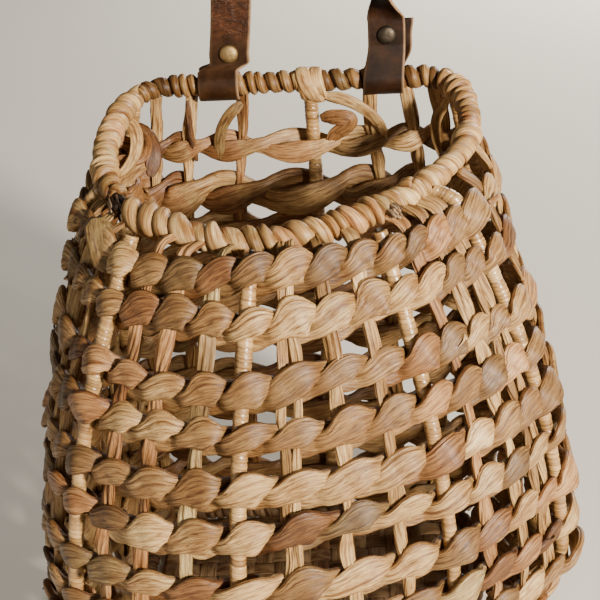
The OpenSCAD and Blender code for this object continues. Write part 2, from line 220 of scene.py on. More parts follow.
class Piece:
    """Gathers swept fibres into one object."""

    def __init__(self):
        self.points, self.faces, self.grain, self.tone = [], [], [], []
        self.count = 0

    def add(self, points, grain, tone, closed=False):
        """Adds a tube, its points given ring by ring. grain is the place in the fibres that
        patterns follow, and tone is three values for the material: for fibre, how light it is,
        how deep in a crease, which the material darkens as painted shade, and its cast."""
        n, sides = points.shape[:2]
        values = [np.broadcast_to(v, (n, sides)) for v in (*grain, *tone, 1.0)]
        self.points.append(points.reshape(-1, 3))
        self.faces.extend((np.asarray(f) + self.count).tolist() for f in tube_faces(n, sides, closed))
        self.grain.append(np.stack(values[:3], axis=-1).reshape(-1, 3))
        self.tone.append(np.stack(values[3:], axis=-1).reshape(-1, 4))
        self.count += n * sides

    def sweep(self, centre, side, out, half_w, half_t, closed=False, sides=28, relief=0.3,
              bundles=7, run=40.0, twist=0, tint=0.5, hue=0.5, square=1.0, floor=None, edge=0.5,
              edge_power=14):
        """Sweeps a ridged oval section: half_w along side, half_t along out.

        laps() makes the ridges, relief high. square below 1 fills the oval's corners. edge is
        how dark its two narrow sides are painted, as shade where neighbouring turns press
        together, edge_power how narrow that painted shade is, floor the lowest z."""
        n = len(centre)
        step = np.linalg.norm(np.diff(centre, axis=0), axis=1)
        along = np.concatenate([[0], np.cumsum(step)])
        length = along[-1] + (step.mean() if closed else 0)
        turn = np.arange(sides) / sides
        cos, sin = np.cos(TAU * turn), np.sin(TAU * turn)
        height, crease = laps(along[:, None], turn[None], length, bundles, run, twist)
        # Darker along the section's two narrow sides: painted shade where neighbouring turns press
        # together
        crease = np.maximum(crease, edge * np.abs(cos[None]) ** edge_power)
        half_w = np.broadcast_to(half_w, n)[:, None]
        half_t = np.broadcast_to(half_t, n)[:, None]
        x = half_w * np.sign(cos) * np.abs(cos) ** square
        y = half_t * np.sign(sin) * np.abs(sin) ** square
        nx, ny = half_t * cos, half_w * sin
        size = np.sqrt(nx ** 2 + ny ** 2)
        x, y = x + relief * height * nx / size, y + relief * height * ny / size
        points = centre[:, None] + side[:, None] * x[..., None] + out[:, None] * y[..., None]
        if floor is not None:
            points[..., 2] = np.maximum(points[..., 2], floor)
        tint, hue = (np.broadcast_to(v, n)[:, None] for v in (tint, hue))
        self.add(points, (along[:, None], x, y), (tint, crease, hue), closed)

    def build(self, name, material, nodes, body="basket"):
        """Shows all that was gathered as one piece, in place of the CAD nodes."""
        mesh = bpy.data.meshes.new(name)
        mesh.from_pydata((np.concatenate(self.points) * MM).tolist(), [], self.faces)
        mesh.attributes.new("grain", "FLOAT_VECTOR", "POINT").data.foreach_set(
            "vector", np.concatenate(self.grain).astype(np.float32).ravel())
        mesh.attributes.new("tone", "FLOAT_COLOR", "POINT").data.foreach_set(
            "color", np.concatenate(self.tone).astype(np.float32).ravel())
        show(mesh, material, nodes, body)


def add_object(name, data):
    new = bpy.data.objects.new(name, data)
    bpy.context.scene.collection.objects.link(new)
    return new


def show(mesh, material, nodes, body):
    """Makes a mesh the piece of its own name, which stands for the CAD nodes."""
    mesh.shade_smooth()
    mesh.materials.append(material)
    piece = add_object(mesh.name, mesh)
    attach(piece, body)
    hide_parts(*nodes)


def grid_faces(n, sides, closed=False):
    """Quads between n rings, turned so that they face outwards."""
    i = np.arange(n if closed else n - 1)[:, None]
    j = np.arange(sides)[None]
    nxt = (i + 1) % n
    a, b = i * sides + j, i * sides + (j + 1) % sides
    c, d = nxt * sides + j, nxt * sides + (j + 1) % sides
    return np.stack([a, b, d, c], axis=-1).reshape(-1, 4)


def tube_faces(n, sides, closed=False):
    """Faces of a tube of n rings, with a cap on each end unless it is closed on itself."""
    faces = list(grid_faces(n, sides, closed))
    if not closed:
        faces += [np.arange(sides)[::-1], (n - 1) * sides + np.arange(sides)]
    return faces


def travelled(path):
    """How far along the path each of its points lies."""
    return np.concatenate([[0], np.cumsum(np.linalg.norm(np.diff(path, axis=0), axis=1))])


def tangents(p, closed=False):
    """Direction of travel at each point of a path."""
    if closed:
        return unit(np.roll(p, -1, axis=0) - np.roll(p, 1, axis=0))
    return unit(np.gradient(p, axis=0))


def framed(path, out, lean=0.0, closed=False):
    """Side and outward directions square to a path, turned about it by the angle lean."""
    t = tangents(path, closed)
    out = unit(out - (out * t).sum(axis=1, keepdims=True) * t)
    side = np.cross(t, out)
    cos, sin = (turn(np.broadcast_to(lean, len(path)))[:, None] for turn in (np.cos, np.sin))
    return side * cos + out * sin, out * cos - side * sin


# ----- materials -----

def new_material(name):
    """An empty material with its node tree and its principled shader."""
    material = bpy.data.materials.new(name)
    material.use_nodes = True
    tree = material.node_tree
    tree.nodes.clear()
    shader = node(tree, "BsdfPrincipled")
    node(tree, "OutputMaterial", {"Surface": shader.outputs["BSDF"]})
    return material, tree, shader


def node(tree, kind, inputs=None, **settings):
    """Adds a shader node; an input is a value or another node's output."""
    new = tree.nodes.new("ShaderNode" + kind)
    for key, value in settings.items():
        setattr(new, key, value)
    for key, value in (inputs or {}).items():
        if isinstance(value, bpy.types.NodeSocket):
            tree.links.new(value, new.inputs[key])
        else:
            new.inputs[key].default_value = value
    return new


WHITE = (1, 1, 1)


def ramp(tree, factor, stops):
    """Colour that changes with factor, given as (place, colour) stops."""
    new = node(tree, "ValToRGB", {"Fac": factor})
    elements = new.color_ramp.elements
    while len(elements) < len(stops):
        elements.new(0.5)
    for element, (at, colour) in zip(elements, stops):
        element.position = at
        element.color = (*colour, 1)
    return new.outputs["Color"]


def mix(tree, factor, a, b, mode="MIX"):
    """Colour a blended by factor with colour b."""
    new = node(tree, "Mix", data_type="RGBA", blend_type=mode)
    for key, value in (("Factor", factor), ("A", a), ("B", b)):
        socket = next(s for s in new.inputs if s.name == key and s.enabled)
        if isinstance(value, bpy.types.NodeSocket):
            tree.links.new(value, socket)
        else:
            socket.default_value = value if key == "Factor" else (*value, 1)
    return next(s for s in new.outputs if s.enabled)


def scaled(tree, vector, scale):
    return node(tree, "Mapping", {"Vector": vector, "Scale": scale}).outputs["Vector"]


def calc(tree, operation, a, b=0.0):
    return node(tree, "Math", {0: a, 1: b}, operation=operation).outputs[0]


def noise(tree, vector, detail, roughness=0.5, scale=1.0, distortion=0.0):
    return node(tree, "TexNoise", {
        "Vector": vector, "Scale": scale, "Detail": detail, "Roughness": roughness,
        "Distortion": distortion}).outputs["Fac"]


def tone_and_grain(tree):
    """The three channels of a piece's tone, and its grain coordinates."""
    tone = node(tree, "Attribute", attribute_name="tone").outputs["Color"]
    grain = node(tree, "Attribute", attribute_name="grain").outputs["Vector"]
    return *node(tree, "SeparateColor", {"Color": tone}).outputs, grain


def finish_surface(tree, shader, base, rough, height, strength, distance):
    """Joins colour, roughness and a bump of the given height in metres to the shader."""
    bumped = node(tree, "Bump", {"Height": height, "Strength": strength, "Distance": distance})
    tree.links.new(base, shader.inputs["Base Color"])
    tree.links.new(rough, shader.inputs["Roughness"])
    tree.links.new(bumped.outputs["Normal"], shader.inputs["Normal"])


def fibre_material(name, dark, mid, light, roughness, gloss=0.35, bump=0.35):
    """Dried plant fibre: long streaks, creases darkened as painted shade, stains and a tint that changes
    from leaf to leaf.
    """
    material, tree, shader = new_material(name)
    tint, crease, hue, grain = tone_and_grain(tree)
    place = node(tree, "TexCoord").outputs["Object"]
    streak = noise(tree, scaled(tree, grain, (0.05, 0.85, 0.85)), 5.0, 0.65)
    hair = noise(tree, scaled(tree, grain, (0.09, 2.1, 2.1)), 3.0, 0.6)
    stain = noise(tree, place, 4.0, 0.6, scale=55.0)
    fleck = noise(tree, scaled(tree, grain, (0.25, 0.9, 0.9)), 6.0, 0.75)
    level = calc(tree, "ADD", calc(tree, "MULTIPLY", tint, 0.5), calc(tree, "MULTIPLY", streak, 0.55))
    base = ramp(tree, level, [(0.22, dark), (0.52, mid), (0.82, light)])
    cast = ramp(tree, hue, [(0.0, (0.70, 0.82, 0.86)), (0.3, WHITE), (0.62, WHITE),
                            (0.8, (0.93, 0.78, 0.76)), (1.0, (0.62, 0.47, 0.38))])
    stained = ramp(tree, stain, [(0.40, (0.80, 0.68, 0.56)), (0.56, WHITE)])
    lines = ramp(tree, hair, [(0.38, (0.40, 0.28, 0.18)), (0.50, WHITE)])
    specks = ramp(tree, fleck, [(0.27, (0.30, 0.18, 0.10)), (0.33, WHITE)])
    # Painted shade: darkens the fibre where the crease value is high, in creases and between pressed
    # turns
    groove_shade = ramp(tree, crease, [(0.15, WHITE), (0.8, (0.38, 0.25, 0.15))])
    for share, layer in ((1.0, cast), (0.8, stained), (0.85, lines), (0.8, specks), (0.95, groove_shade)):
        base = mix(tree, share, base, layer, "MULTIPLY")
    rough = ramp(tree, streak, [(0.3, (roughness + 0.12,) * 3), (0.7, (roughness - 0.1,) * 3)])
    shader.inputs["Specular IOR Level"].default_value = gloss
    height = calc(tree, "ADD", calc(tree, "MULTIPLY", streak, 0.7), hair)
    finish_surface(tree, shader, base, rough, height, bump, 0.0008)
    return material


def leather_material(name):
    """Brown leather: tone says where it is crinkled, raw at the cut edge, and painted darker as shade.
    """
    material, tree, shader = new_material(name)
    crinkled, edge, shaded_right_half, grain = tone_and_grain(tree)
    cloud = noise(tree, scaled(tree, grain, (0.12, 0.09, 0.09)), 6.0, 0.62)
    pores = node(tree, "TexVoronoi", {
        "Vector": scaled(tree, grain, (1.7, 1.9, 1.9)), "Scale": 1.0}).outputs["Distance"]
    crumple = noise(tree, scaled(tree, grain, (0.30, 0.13, 0.13)), 2.5, distortion=0.9)
    crest = calc(tree, "ABSOLUTE", calc(tree, "SUBTRACT", crumple, 0.5))
    crease = calc(tree, "MULTIPLY", ramp(tree, crest, [(0.0, WHITE), (0.07, (0, 0, 0))]), crinkled)
    base = ramp(tree, cloud, [(0.3, (0.014, 0.0050, 0.0010)), (0.52, (0.034, 0.0125, 0.0028)),
                              (0.75, (0.070, 0.028, 0.0075))])
    rubbed = ramp(tree, crinkled, [(0.0, WHITE), (1.0, (1.75, 1.5, 2.0))])
    base = mix(tree, 1.0, base, rubbed, "MULTIPLY")
    # Painted shade: the right half of the strap is made darker
    darker = ramp(tree, shaded_right_half, [(0.0, WHITE), (1.0, (0.55, 0.5, 0.42))])
    base = mix(tree, 1.0, base, darker, "MULTIPLY")
    # Darkens the crumples' crease lines: painted shade in them
    crease_shade = calc(tree, "MULTIPLY", crease, 0.7)
    base = mix(tree, crease_shade, base, (0.012, 0.005, 0.002))
    raw = ramp(tree, cloud, [(0.3, (0.22, 0.12, 0.058)), (0.7, (0.40, 0.24, 0.13))])
    base = mix(tree, edge, base, raw)
    rough = ramp(tree, cloud, [(0.3, (0.46,) * 3), (0.7, (0.62,) * 3)])
    shader.inputs["Specular IOR Level"].default_value = 0.22
    height = calc(tree, "ADD", calc(tree, "MULTIPLY", pores, 0.2), cloud)
    height = calc(tree, "SUBTRACT", height, calc(tree, "MULTIPLY", crease, 1.1))
    finish_surface(tree, shader, base, rough, height, 0.3, 0.0007)
    return material


def metal_material(name, low, high, roughness):
    """Plated metal with a dull film and fine scratches."""
    material, tree, shader = new_material(name)
    place = node(tree, "TexCoord").outputs["Object"]
    film = noise(tree, place, 3.0, scale=160.0)
    scratch = noise(tree, scaled(tree, place, (300.0, 40.0, 2500.0)), 3.0)
    base = ramp(tree, film, [(0.35, low), (0.65, high)])
    rough = ramp(tree, scratch, [(0.3, (roughness - 0.08,) * 3), (0.7, (roughness + 0.12,) * 3)])
    shader.inputs["Metallic"].default_value = 1.0
    finish_surface(tree, shader, base, rough, scratch, 0.05, 0.0001)
    return material


WEFT = fibre_material("weft_fibre", (0.080, 0.040, 0.012), (0.315, 0.176, 0.061), (0.79, 0.545, 0.240),
                      0.46, gloss=0.45)
WARP = fibre_material("warp_fibre", (0.085, 0.042, 0.012), (0.36, 0.205, 0.072), (0.80, 0.56, 0.25),
                      0.5)
RIM = fibre_material("rim_fibre", (0.17, 0.083, 0.024), (0.52, 0.310, 0.112), (0.96, 0.69, 0.33), 0.46,
                     gloss=0.38, bump=0.22)
RIB = fibre_material("rib_fibre", (0.22, 0.112, 0.034), (0.55, 0.335, 0.125), (0.90, 0.63, 0.29), 0.28,
                     gloss=0.9, bump=0.15)
BASE = fibre_material("base_fibre", (0.11, 0.06, 0.027), (0.29, 0.18, 0.085), (0.52, 0.36, 0.20), 0.6)
REED = fibre_material("cut_reed", (0.12, 0.07, 0.04), (0.40, 0.28, 0.17), (0.80, 0.64, 0.44), 0.75)
LEATHER = leather_material("strap_leather")
BRASS = metal_material("brass", (0.36, 0.235, 0.095), (0.46, 0.315, 0.14), 0.55)
STEEL = metal_material("steel", (0.062, 0.048, 0.034), (0.11, 0.088, 0.064), 0.50)


def hues(count):
    """A cast for each leaf: mostly straw, some grey-green, some pink, a few brown."""
    draw = rng.random(count)
    cast = np.full(count, 0.45)
    cast[draw < 0.06] = 0.1
    cast[draw > 0.84] = 0.78
    cast[draw > 0.95] = 0.86
    return cast


# ----- twined rows -----

RINGS_PER_STAKE = 14
# Half width of a strand midway between stakes, and its gain at a stake
STRAND_W, STRAND_W_GAIN = 5.9, 1.1
# Half thickness of a strand at a stake, and its gain midway to the next
STRAND_T, STRAND_T_GAIN = 1.9, 0.5
# How far a strand rises above the row's middle and falls below it
STRAND_RISE = 3.9
# How far past its highest point a strand dives behind the other, in radians of the twist
DIVE_LAG = 0.4
# Below 1, a strand stays longer in front or behind, and dives more steeply
DIVE_POWER = 0.6
# Share of its width that a strand loses where it dives
DIVE_SQUEEZE = 0.22
# Room that a row leaves for a rib, for a strip, and beyond either
RIB_R, WARP_T, STRAND_GAP = 4.2, 0.8, 0.2
# For two rows, how much lower each runs across the back, and how many times as thick
BACK_ROW = {0: (0.0, 0.75), 1: (8.0, 1.25)}
# How much lower the top row runs at the front, under the rim
TOP_ROW_DROP = 3.5
# Torn tips on each row, and how many points make one
SPLINTERS = 4
SPLINTER_POINTS = 12


def splinter(row, h, u):
    """A torn tip of leaf that has sprung out of a row."""
    here = np.array([u])
    along, up, out = (axis[0] for axis in wall_axes(here, h))
    run = np.linspace(0, 1, SPLINTER_POINTS)[:, None]
    way = rng.choice([-1, 1]) * along + rng.uniform(-0.5, 0.9) * up
    length, curl = rng.uniform(7, 13), rng.uniform(1, 4)
    centre = (wall(here, h)[0] + out * 4.5 + up * rng.uniform(-4, 4) + way * length * run
              + out * curl * np.sin(2.4 * run))
    side, face = framed(centre, out, 1.2 * run[:, 0])
    taper = (1 - run[:, 0]) ** 0.6 + 0.08
    row.sweep(centre, side, face, rng.uniform(0.9, 1.8) * taper, 0.45 * taper, sides=14, relief=0.25,
              bundles=4, run=8.0, tint=rng.uniform(0.2, 1.0), hue=hues(1)[0], square=0.8)


def per_leaf(t, low, high):
    """Random values that change from leaf to leaf of a strand."""
    return wander(t / 2, LEAVES, low, high)


def share_near(u, sign):
    """1 across the back where sign is 1, or across the front where it is -1, falling to 0."""
    return smooth(np.clip(sign * np.cos(TAU * u / CORNERS) * 3 - 1.4, 0, 1))


def twined_row(index):
    """Two strands that twist round each other between the stakes."""
    row = Piece()
    t = np.arange(0, STAKES, 1 / RINGS_PER_STAKE)
    u = stake_place(t)
    back_drop, back_size = BACK_ROW.get(index, (0.0, 1.0))
    h = ROW_H[index] + per_leaf(t, -2.2, 2.2) - back_drop * share_near(u, 1)
    if index == 0:
        h = h - TOP_ROW_DROP * share_near(u, -1)
    size_at = 1 + (back_size - 1) * share_near(u, 1)
    _, up, out = wall_axes(u, h)
    middle = wall(u, h)
    rib_share = smooth(np.clip(1 - np.abs((t + 2) % PER_SECTOR - 2), 0, 1))
    for phase in (0, 1):
        angle = math.pi * (t + phase)
        depth = np.cos(angle - DIVE_LAG)
        swing = np.sign(depth) * np.abs(depth) ** DIVE_POWER
        size = per_leaf(t + phase, 0.78, 1.22) * size_at
        half_t = (STRAND_T + STRAND_T_GAIN * np.abs(np.sin(angle))) * size
        reach = WARP_T + STRAND_GAP + half_t + rib_share * (RIB_R - WARP_T)
        rise = STRAND_RISE * size_at * np.sin(angle + 0.2)
        centre = middle + out * (reach * swing)[:, None] + up * rise[:, None]
        side, face = framed(centre, out, per_leaf(t + phase, -0.3, 0.3), closed=True)
        skew = per_leaf(t + phase, 0.05, 0.42) * np.sin(2 * angle)
        past_dive = ((angle - math.pi / 2 - DIVE_LAG) / math.pi + 0.5) % 2 - 0.5
        half_w = (STRAND_W + STRAND_W_GAIN * np.abs(np.cos(angle)) ** 1.2) * size * (1 + skew)
        half_w = half_w * (1 - DIVE_SQUEEZE * np.exp(-past_dive ** 2 * 40))
        leaf = per_leaf(t + phase, 0.12, 0.95)
        cast = hues(LEAVES)[np.floor((t + phase + 0.999) / 2).astype(int) % LEAVES]
        row.sweep(centre, side, face, half_w, half_t, closed=True, sides=88, relief=0.42,
                  bundles=15, run=46.0, twist=-15, tint=leaf, hue=cast, square=0.7, edge=0.7)
    for _ in range(SPLINTERS):
        splinter(row, h.mean(), rng.uniform(0, CORNERS))
    name = f"weft_row_{index + 1:02d}"
    row.build(name + "_strands", WEFT, [name])


for row_index in range(len(ROW_H)):
    twined_row(row_index)


# ----- stakes -----

STAKE_STEP = 2.0
# How far a stake stays from the middle of the base ring, and from the middle of the rim
FOOT_ROOM, RIM_ROOM = 8.4, 5.0
# Where the rim is less than this above the wall's top, a rib stops at the wall's top
LEAST_RISE = 6
RIB_RING_STEP, RIB_SIDES = 0.45, 28
# Width of a turn round a rib, and the wrapping's radius
RIB_TURN_W, RIB_WRAP_R = 2.9, 3.95
# Width and half thickness of a strip, and share of the strips that have split in two
STRIP_W, STRIP_T, SPLIT_SHARE = 7.9, 1.5, 0.2


def stake_foot(u):
    """Lowest height of a stake: its end stops short of the base ring's wrapping."""
    reach = np.linalg.norm(outline(np.array([u]), 1.0) - outline(np.array([u]), 0.0))
    slope = 2 * FOOT_DROP / (TURN_H - FOOT_H) * reach
    return FOOT_H + FOOT_ROOM / math.sqrt(1 + slope * slope)


def stake_path(u, tuck_in=False):
    """Centre line of a stake, from the base ring up to under the rim's wrapping.

    A limp strip also tucks in under the rim where the rim lies beside the wall's top."""
    heights = np.arange(stake_foot(u), WALL_TOP, STAKE_STEP)
    places = np.full(len(heights), float(u))
    path = wall(places, heights)
    here = np.array([float(u)])
    top, goal = path[-1], rim(here)[0]
    to_rim = goal - top
    if to_rim[2] > LEAST_RISE or tuck_in:
        stop = 1 - RIM_ROOM / np.linalg.norm(to_rim)
        count = max(int(np.linalg.norm(to_rim) * stop / STAKE_STEP), 2)
        path = np.vstack([path, top + np.outer(np.linspace(0, stop, count + 1)[1:], to_rim)])
        for _ in range(3):
            path[len(heights) - 3:-1] = blur(path)[len(heights) - 3:-1]
    t_dir = tangents(path)
    along = heading(np.full(len(path), float(u)), bulge(np.minimum(path[:, 2], WALL_TOP)))
    side = unit(along - (along * t_dir).sum(axis=1, keepdims=True) * t_dir)
    return path, side, np.cross(side, t_dir)


def blur(path):
    """Each point moved to the mean of itself and its neighbours."""
    smoother = path.copy()
    smoother[1:-1] = (path[:-2] + path[1:-1] * 2 + path[2:]) / 4
    return smoother


def wrapped_rib(index):
    """A straight rod bound with fine flat turns."""
    rib = Piece()
    path, side, out = stake_path(RIB_AT[index])
    s = travelled(path)
    at = np.arange(0, s[-1], RIB_RING_STEP)
    centre, side, out = (np.column_stack([np.interp(at, s, v[:, k]) for k in range(3)])
                         for v in (path, side, out))
    side, out = unit(side), unit(out)
    turn = np.arange(RIB_SIDES) / RIB_SIDES
    pitch = RIB_TURN_W * wander(at / 30, 12, 0.8, 1.35)
    turns_done = np.cumsum(RIB_RING_STEP / pitch)
    phase = turns_done[:, None] - turn[None]
    share = phase - np.floor(phase)
    edge = np.abs(2 * share - 1)
    number = np.floor(phase).astype(int)
    step_out = rng.uniform(-0.16, 0.16, number.max() + 3)[number + 1]
    radius = RIB_WRAP_R + wander(at / 12, 26, -0.25, 0.25)[:, None] + step_out - 0.34 * edge ** 6
    cos, sin = np.cos(TAU * turn), np.sin(TAU * turn)
    points = (centre[:, None] + side[:, None] * (radius * cos)[..., None]
              + out[:, None] * (radius * sin)[..., None])
    tint = rng.uniform(0.15, 0.75, number.max() + 3)[number + 1]
    # The crease value, high at each turn's edges, darkens them: painted shade between the turns
    rib.add(points, (phase * 25, share * 3, number * 1.7), (tint, edge ** 8 * 0.8, 0.45))
    rib.build(f"rib_{RIBS[index]}_binding", RIB, [f"rib_wrap_{RIBS[index]}"])


for rib_index in range(len(RIBS)):
    wrapped_rib(rib_index)


def fibre_strip(piece, u, width, slip=0.0, lift=0.0):
    """A crumpled leaf strip that runs up the wall at place u, squeezed where the rows pass it."""
    path, side, out = stake_path(u, tuck_in=True)
    x = np.arange(len(path)) * STAKE_STEP
    centre = path + side * (wander(x / 24, 14, -2.2, 2.2) + slip)[:, None] + out * lift
    squeeze = np.exp(-(np.abs(path[:, 2:] - np.array([ROW_H])).min(axis=1) / 6.5) ** 2)
    half_w = width / 2 * wander(x / 20, 15, 0.70, 1.25) * (1 - 0.28 * squeeze)
    half_t = STRIP_T * wander(x / 16, 16, 0.8, 1.5) * (1 - 0.35 * squeeze)
    side, out = framed(centre, out, wander(x / 26, 12, -0.7, 0.7))
    piece.sweep(centre, side, out, half_w, half_t, sides=40, relief=1.0, run=26.0,
                tint=wander(x / 50, 7, 0.25, 0.95), hue=hues(1)[0], square=0.85, edge=0.6)


def rounded(points, times=4):
    """A smooth path that follows a few given points."""
    for _ in range(times):
        a, b = points[:-1], points[1:]
        cut = np.stack([0.75 * a + 0.25 * b, 0.25 * a + 0.75 * b], axis=1).reshape(-1, 3)
        points = np.vstack([points[:1], cut, points[-1:]])
    return points


# Leaf ends that have come loose, by sector: width, roll at each end in radians, tint from dark
# to light, cast (see hues), and points as x, y, z about the back rail's middle
LOOSE_ENDS = {
    "rear_right": [
        (7.0, (0.2, -0.9), 0.75, 0.45,
         [(15, -3, -8), (27, -7, -9), (40, -6, -17), (47, -7, -25), (50, -2, -36)]),
        (9.0, (-0.3, 0.6), 0.3, 0.78,
         [(13, -4, -21), (20, -8, -19), (31, -9, -20), (28, -7, -26), (21, -5, -30), (17, -3, -38)])],
    "rear_left": [
        (6.5, (0.4, -0.3), 0.35, 0.1, [(-31, -4, -10), (-39, -6, -16), (-45, -5, -27), (-47, -3, -44)]),
        (3.4, (0.0, 0.3), 0.1, 0.9, [(-62, -3, -8), (-62, -4, -26), (-60, -2, -45)])],
    "side_left_rear": [
        (8.0, (0.3, 1.1), 0.8, 0.45,
         [(-96, -20, -10), (-87, -30, -17), (-90, -42, -30), (-103, -50, -38)]),
        (7.0, (-0.6, 0.5), 0.4, 0.78,
         [(-92, -12, -18), (-83, -24, -25), (-87, -36, -31), (-102, -40, -27)]),
        (7.0, (0.8, -0.5), 0.6, 0.45,
         [(-102, -34, -48), (-90, -28, -38), (-83, -18, -36), (-90, -8, -44)]),
        (9.0, (1.0, 0.2), 0.1, 0.9, [(-98, -8, -22), (-88, -12, -20), (-80, -20, -30), (-84, -26, -44)]),
        (8.0, (0.0, 1.2), 0.5, 0.9,
         [(-100, -30, -20), (-89, -26, -26), (-86, -14, -22), (-92, -6, -32)])],
    "side_left_front": [
        (13.0, (0.2, -0.2), 0.35, 0.0,
         [(-93, -132, -22), (-92, -138, -30), (-91, -141, -38), (-89, -142, -46)])],
    "side_right_rear": [
        (8.5, (0.2, 1.6), 0.5, 0.45, [(84, -14, -8), (77, -10, -24), (80, -6, -42), (88, -10, -58)])]}


def loose_end(piece, width, rolls, tint, cast, points):
    """One end of leaf, thinner at both tips."""
    centre = rounded(np.array(points, float)) + RAIL
    share = np.linspace(0, 1, len(centre))
    side, out = framed(centre, np.array([0.0, -1.0, 0.15]), rolls[0] + (rolls[1] - rolls[0]) * share)
    taper = np.clip(0.3 + 3 * np.minimum(share, 1 - share), 0, 1)
    piece.sweep(centre, side, out, width / 2 * taper, 0.8 * taper, sides=32, relief=0.6,
                run=26.0, tint=tint, hue=cast, square=0.8, edge=0.6)


def warps(index):
    """The flat strips between two ribs, and the loose ends that hang there."""
    strips = Piece()
    for j in range(1, PER_SECTOR):
        place = float(stake_place(np.array([index * PER_SECTOR + j]))[0])
        if rng.random() < SPLIT_SHARE:
            fibre_strip(strips, place, 5.6, slip=-2.7)
            fibre_strip(strips, place, 5.2, slip=2.9, lift=0.5)
        else:
            fibre_strip(strips, place, STRIP_W)
    for shape in LOOSE_ENDS.get(SECTORS[index], []):
        loose_end(strips, *shape)
    strips.build(f"warps_{SECTORS[index]}_strips", WARP, [f"warps_{SECTORS[index]}"])


for sector_index in range(len(SECTORS)):
    warps(sector_index)


# ----- wrappings of the rim and the base ring -----

RINGS_PER_TURN = 20


def wrapping(piece, centre_at, axes_at, u0, u1, pitch, starts, core, half_t, spread=1.0,
             vary=0.35, floor=None, tone=(0.3, 1.0), lumps=0.5, square=1.1, first=()):
    """Turns wound side by side from u0 to u1, their middles core out, give or take lumps.
    starts strands run together, so a bigger number slants the turns more. pitch is the mean
    width of a turn, vary how much it varies, and first lists the widths of the first turns."""
    fine = np.linspace(u0, u1, 600)
    s = travelled(centre_at(fine))
    turns = max(int(round(s[-1] / pitch)), 1)
    widths = rng.uniform(1 - vary, 1 + vary, turns + 2 * starts)
    widths[starts:starts + len(first)] = np.array(first) / pitch
    edges = np.concatenate([[0], np.cumsum(widths)])
    edges = (edges - edges[starts]) / (edges[turns + starts] - edges[starts]) * s[-1]
    under = np.linspace(u0, u1, 80)
    centre = centre_at(under)
    side, face = framed(centre, axes_at(under)[0])
    piece.sweep(centre, side, face, core, core, sides=16, relief=0.1, bundles=5, tint=0.1, floor=floor)
    for start in range(starts):
        count = int((turns + starts) / starts * RINGS_PER_TURN)
        winding = np.arange(count + 1) / RINGS_PER_TURN
        number = winding * starts + start
        place = np.interp(number, np.arange(len(edges)), edges)
        keep = (place >= 0) & (place <= s[-1])
        winding, number, place = winding[keep], number[keep], place[keep]
        u = np.interp(place, s, fine)
        out, up = axes_at(u)
        psi = TAU * winding
        radial = up * np.cos(psi)[:, None] + out * np.sin(psi)[:, None]
        bump = wander(number, len(edges), -lumps, lumps)
        centre = centre_at(u) + radial * (core + bump)[:, None]
        side, face = framed(centre, radial)
        local = np.interp(number, np.arange(len(widths)) + 0.5, np.diff(edges))
        half_w = local / 2 * spread * (1 + 0.10 * np.sin(psi))
        leaf = wander(number, len(edges), *tone)
        cast = hues(len(edges))[np.floor(number).astype(int) % len(edges)]
        # edge 1.0 with a low power paints deep shade into the grooves between turns
        piece.sweep(centre, side, face, half_w, half_t * (1 + 0.2 * bump), sides=30, relief=0.42,
                    run=22.0, tint=leaf, hue=cast, floor=floor, square=square, edge=1.0, edge_power=5)


def bound_rim(name, node_name, *spans):
    """One part of the rim's wrapping, wound along one or more spans."""
    rim_part = Piece()
    for span in spans:
        wrapping(rim_part, rim, rim_axes, **span)
    rim_part.build(name, RIM, [node_name])


# The back's turns get a lower tone: painted shade that makes the back of the rim darker
BACK_TURNS_IN_SHADE = dict(starts=1, core=3.7, tone=(-0.4, 0.35))
PLUMP_TURNS = dict(starts=1, core=3.9, half_t=3.0, lumps=0.8, vary=0.45, square=1.2)
SLANTED_TURNS = dict(starts=2, core=3.8, half_t=4.2, lumps=0.8, vary=0.4, square=1.0, spread=0.97)
# Where the knot starts along the rim
KNOT_AT = -0.165

bound_rim("rim_back_binding", "rim_wrap_back",
          dict(u0=-1.45, u1=KNOT_AT, pitch=6.8, half_t=2.9, **BACK_TURNS_IN_SHADE),
          dict(u0=0.0, u1=1.45, pitch=6.6, half_t=2.8, **BACK_TURNS_IN_SHADE))
bound_rim("rim_left_binding", "rim_wrap_left", dict(
    u0=1.45, u1=3.12, pitch=8.75, **PLUMP_TURNS,
    first=(12.0, 10.0, 12.0, 8.0, 10.0, 9.0, 5.0, 10.0, 4.5, 4.5, 8.0, 11.0)))
bound_rim("rim_front_binding", "rim_wrap_front", dict(
    u0=3.42, u1=6.2, pitch=7.6, **SLANTED_TURNS,
    first=(13.0, 9.0, 10.5, 13.5, 6.0, 11.0, 9.5, 7.0, 7.5, 9.5, 9.5)))
bound_rim("rim_right_binding", "rim_wrap_right", dict(
    u0=6.2, u1=8.55, pitch=7.5, **PLUMP_TURNS,
    first=(5.0, 5.0, 6.0, 12.0, 14.0, 16.0, 8.0, 4.5, 4.5, 5.0, 7.5, 7.5, 6.0, 6.0, 6.0, 8.0)))


def band(piece, u, half_w, slant, reach_out, reach_up, drop, half_t, tint):
    """One loose turn round the rim at place u, slanted by slant millimetres."""
    psi = np.linspace(0, TAU, 30, endpoint=False)
    here = np.full(len(psi), float(u))
    out, up = rim_axes(here)
    along = heading(here, 0.0)
    centre = (rim(here) + out * (reach_out * np.sin(psi))[:, None]
              + up * (reach_up * np.cos(psi) - drop)[:, None] + along * (slant * np.cos(psi))[:, None])
    radial = unit(out * np.sin(psi)[:, None] + up * np.cos(psi)[:, None])
    side, face = framed(centre, radial, closed=True)
    piece.sweep(centre, side, face, half_w, half_t, closed=True, sides=26, relief=0.4, run=14.0,
                tint=tint, hue=0.45, square=0.85)


